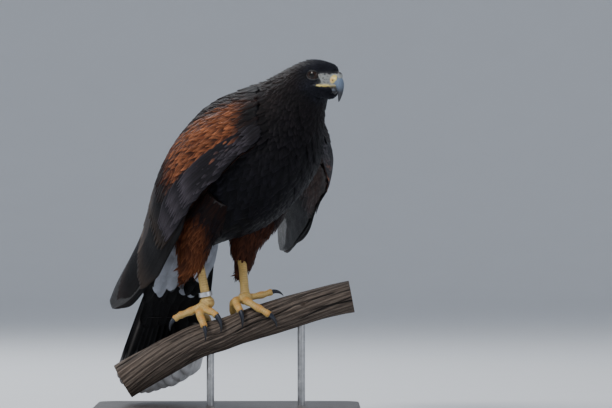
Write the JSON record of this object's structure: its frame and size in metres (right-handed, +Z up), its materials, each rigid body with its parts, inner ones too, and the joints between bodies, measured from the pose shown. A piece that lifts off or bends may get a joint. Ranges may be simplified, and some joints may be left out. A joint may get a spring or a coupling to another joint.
{
  "type": "harris hawk",
  "caption": "Life-size standing hawk with one wing held off the body, gripping a cut branch on a flat display stand.",
  "frame": {"origin": "on the floor, under the middle of the whole model's box", "axes": "+Z up; +X up along the perch, towards its higher end; -Y the side that the bird's breast and bill are turned towards. The bird itself faces halfway between +X and -Y"},
  "size_m": [0.316, 0.3966, 0.4224],
  "materials": {
    "dark_plumage": "soft overlapping feathers, blackish brown",
    "rufous_plumage": "soft overlapping feathers, chestnut",
    "leg_skin": "scaled yellow skin, satin",
    "horn": "smooth horn, satin to gloss",
    "eye": "wet gloss",
    "band_metal": "worn satin, unmarked",
    "weathered_wood": "weathered, barkless, cracked",
    "stand_wood": "dark, satin varnish",
    "rod_steel": "brushed"
  },
  "bodies": {
    "root": {"head": "dark_plumage", "neck": "dark_plumage", "trunk": "dark_plumage", "tail": "dark_plumage", "wing_left": "rufous_plumage", "wing_right": "rufous_plumage", "trousers_left": "rufous_plumage", "trousers_right": "rufous_plumage", "tarsus_left": "leg_skin", "tarsus_right": "leg_skin", "foot_left": "leg_skin", "foot_right": "leg_skin", "claw_inner_left": "horn", "claw_middle_left": "horn", "claw_outer_left": "horn", "claw_back_left": "horn", "claw_inner_right": "horn", "claw_middle_right": "horn", "claw_outer_right": "horn", "claw_back_right": "horn", "bill_upper": "horn", "bill_lower": "horn", "eye_left": "eye", "eye_right": "eye", "leg_band": "band_metal", "perch": "weathered_wood", "stand_base": "stand_wood", "stand_rod_low": "rod_steel", "stand_rod_high": "rod_steel"}
  },
  "joints": []
}
